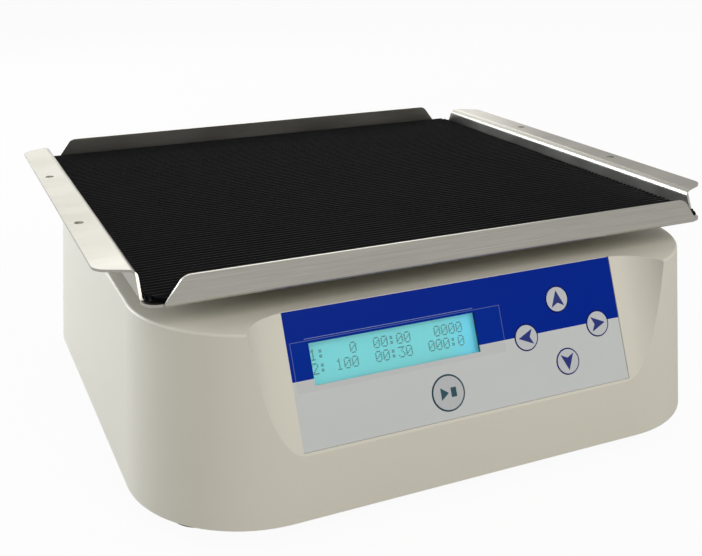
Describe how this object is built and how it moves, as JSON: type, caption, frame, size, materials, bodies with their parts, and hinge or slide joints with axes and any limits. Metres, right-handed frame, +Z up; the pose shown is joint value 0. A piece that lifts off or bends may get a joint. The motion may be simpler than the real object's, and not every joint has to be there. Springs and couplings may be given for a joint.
{
  "type": "orbital shaker",
  "caption": "Bench-top orbital shaker: moulded case with sloping key panel and display, crank-driven steel tray with a ribbed rubber mat.",
  "frame": {"origin": "on the table, under the middle of the case", "axes": "+X to the right seen from the control panel, +Y to the back, +Z up"},
  "size_m": [0.32, 0.303, 0.123],
  "materials": {
    "case_plastic": "fine satin moulding grain",
    "plate_steel": "zinc-grey sheet",
    "foot_rubber": "matt black rubber",
    "screw_steel": "bright zinc",
    "overlay_film": "blue over light grey printed film, satin",
    "key_film": "light grey film with blue rings",
    "display_clear": "clear pane",
    "display_lcd": "back-lit cyan with dark characters",
    "display_black": "black bezel",
    "circuit_board": "green solder mask",
    "cast_aluminium": "cast and turned",
    "bearing_steel": "ground steel with dark seals",
    "shaft_steel": "ground steel",
    "motor_can": "black can",
    "belt_rubber": "black belt",
    "tray_steel": "brushed along its length",
    "mat_rubber": "black, fine ribs across",
    "black_plastic": "black moulding",
    "pin_brass": "nickel-plated brass"
  },
  "bodies": {
    "root": {"housing": "case_plastic", "base_plate": "plate_steel", "foot_front_left": "foot_rubber", "foot_front_right": "foot_rubber", "foot_rear_left": "foot_rubber", "foot_rear_right": "foot_rubber", "foot_screws": "screw_steel", "case_screws": "screw_steel", "control_overlay": "overlay_film", "display_pane": "display_clear", "display_glass": "display_lcd", "display_frame": "display_black", "display_board": "circuit_board", "control_board": "circuit_board", "board_screws": "screw_steel", "drive_housing": "cast_aluminium", "main_bearings": "bearing_steel", "drive_screws": "screw_steel", "idler_post_front_left": "cast_aluminium", "idler_post_front_right": "cast_aluminium", "idler_post_rear_left": "cast_aluminium", "idler_post_rear_right": "cast_aluminium", "post_bearings": "bearing_steel", "plate_screws": "screw_steel", "motor": "motor_can", "motor_bracket": "plate_steel", "motor_screws": "screw_steel", "drive_belt": "belt_rubber", "power_inlet": "black_plastic", "inlet_pins": "pin_brass", "inlet_screws": "screw_steel", "switch_frame": "black_plastic", "fuse_holder": "black_plastic", "supply_pillars": "cast_aluminium", "supply_board": "circuit_board"},
    "crank": {"main_shaft": "shaft_steel", "crank_pin": "shaft_steel", "driven_pulley": "cast_aluminium", "counterweight": "plate_steel", "weight_screws": "screw_steel"},
    "platform": {"platform_carrier": "cast_aluminium", "crank_bearing": "bearing_steel", "idler_bearings": "bearing_steel", "tray": "tray_steel", "tray_screws": "screw_steel", "mat": "mat_rubber"},
    "motor_rotor": {"motor_shaft": "shaft_steel", "motor_pulley": "cast_aluminium"},
    "idler_front_left": {"idler_crank_front_left": "shaft_steel"},
    "idler_front_right": {"idler_crank_front_right": "shaft_steel"},
    "idler_rear_left": {"idler_crank_rear_left": "shaft_steel"},
    "idler_rear_right": {"idler_crank_rear_right": "shaft_steel"},
    "key_up": {"key_up": "key_film"},
    "key_left": {"key_left": "key_film"},
    "key_right": {"key_right": "key_film"},
    "key_down": {"key_down": "key_film"},
    "key_start": {"key_start": "key_film"},
    "rocker": {"power_rocker": "black_plastic"}
  },
  "joints": [
    {"name": "crank_spin", "type": "hinge", "parent": "root", "child": "crank", "pos_m": [0, 0, 0.1], "axis": [0, 0, 1], "continuous": true},
    {"name": "platform_orbit", "type": "hinge", "parent": "crank", "child": "platform", "pos_m": [0, 0.01, 0.107], "axis": [0, 0, 1], "continuous": true},
    {"name": "motor_spin", "type": "hinge", "parent": "root", "child": "motor_rotor", "pos_m": [0, 0.092, 0.06], "axis": [0, 0, 1], "continuous": true},
    {"name": "idler_spin_front_left", "type": "hinge", "parent": "root", "child": "idler_front_left", "pos_m": [-0.095, -0.075, 0.09], "axis": [0, 0, 1], "continuous": true},
    {"name": "idler_spin_front_right", "type": "hinge", "parent": "root", "child": "idler_front_right", "pos_m": [0.095, -0.075, 0.09], "axis": [0, 0, 1], "continuous": true},
    {"name": "idler_spin_rear_left", "type": "hinge", "parent": "root", "child": "idler_rear_left", "pos_m": [-0.095, 0.075, 0.09], "axis": [0, 0, 1], "continuous": true},
    {"name": "idler_spin_rear_right", "type": "hinge", "parent": "root", "child": "idler_rear_right", "pos_m": [0.095, 0.075, 0.09], "axis": [0, 0, 1], "continuous": true},
    {"name": "key_up_press", "type": "slide", "parent": "root", "child": "key_up", "axis": [0, 0.9171, -0.3987], "range_m": [0, 0.0005], "stiffness_N_per_m": 400},
    {"name": "key_left_press", "type": "slide", "parent": "root", "child": "key_left", "axis": [0, 0.9171, -0.3987], "range_m": [0, 0.0005], "stiffness_N_per_m": 400},
    {"name": "key_right_press", "type": "slide", "parent": "root", "child": "key_right", "axis": [0, 0.9171, -0.3987], "range_m": [0, 0.0005], "stiffness_N_per_m": 400},
    {"name": "key_down_press", "type": "slide", "parent": "root", "child": "key_down", "axis": [0, 0.9171, -0.3987], "range_m": [0, 0.0005], "stiffness_N_per_m": 400},
    {"name": "key_start_press", "type": "slide", "parent": "root", "child": "key_start", "axis": [0, 0.9171, -0.3987], "range_m": [0, 0.0005], "stiffness_N_per_m": 400},
    {"name": "power_rocker_tilt", "type": "hinge", "parent": "root", "child": "rocker", "pos_m": [-0.022, 0.13798, 0.048], "axis": [1, 0, 0], "range_deg": [-20, 0]}
  ],
  "couplings": [
    {"joint": "platform_orbit", "follows": "crank_spin", "ratio": -1},
    {"joint": "motor_spin", "follows": "crank_spin", "ratio": 4},
    {"joint": "idler_spin_front_left", "follows": "crank_spin", "ratio": 1},
    {"joint": "idler_spin_front_right", "follows": "crank_spin", "ratio": 1},
    {"joint": "idler_spin_rear_left", "follows": "crank_spin", "ratio": 1},
    {"joint": "idler_spin_rear_right", "follows": "crank_spin", "ratio": 1}
  ]
}
